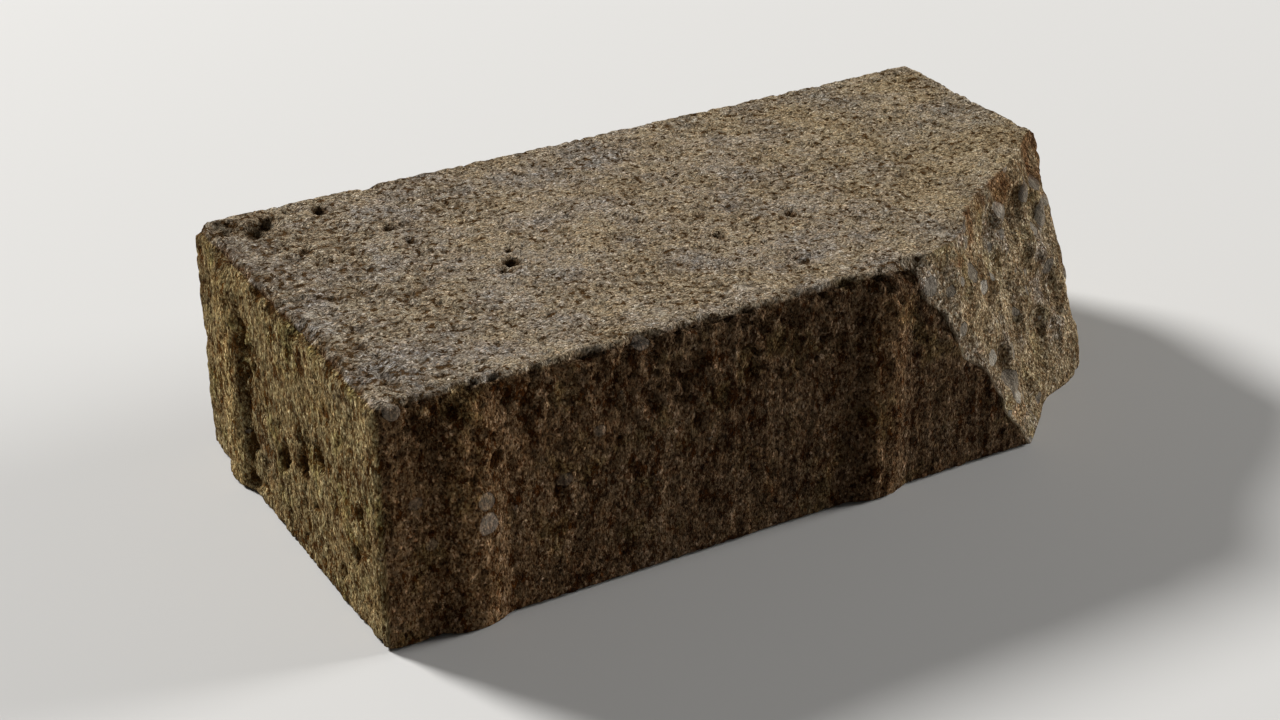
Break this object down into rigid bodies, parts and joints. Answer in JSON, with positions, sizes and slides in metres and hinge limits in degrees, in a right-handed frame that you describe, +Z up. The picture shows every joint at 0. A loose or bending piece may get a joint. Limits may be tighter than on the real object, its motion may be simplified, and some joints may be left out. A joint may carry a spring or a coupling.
{
  "type": "concrete brick",
  "caption": "Rectangular concrete paving brick with moulded spacer ribs on its sides, worn upper edges and a corner broken off; laid in paths, yards and edgings.",
  "frame": {"origin": "middle of the rectangle of the bed face, on the floor", "axes": "+X along the length towards the broken end, +Y from the front long face to the back one, +Z up from the bed face to the walking face"},
  "size_m": [0.2142, 0.1096, 0.06],
  "materials": {
    "concrete": "rough, pitted and weathered"
  },
  "bodies": {
    "root": {"brick": "concrete"}
  },
  "joints": []
}
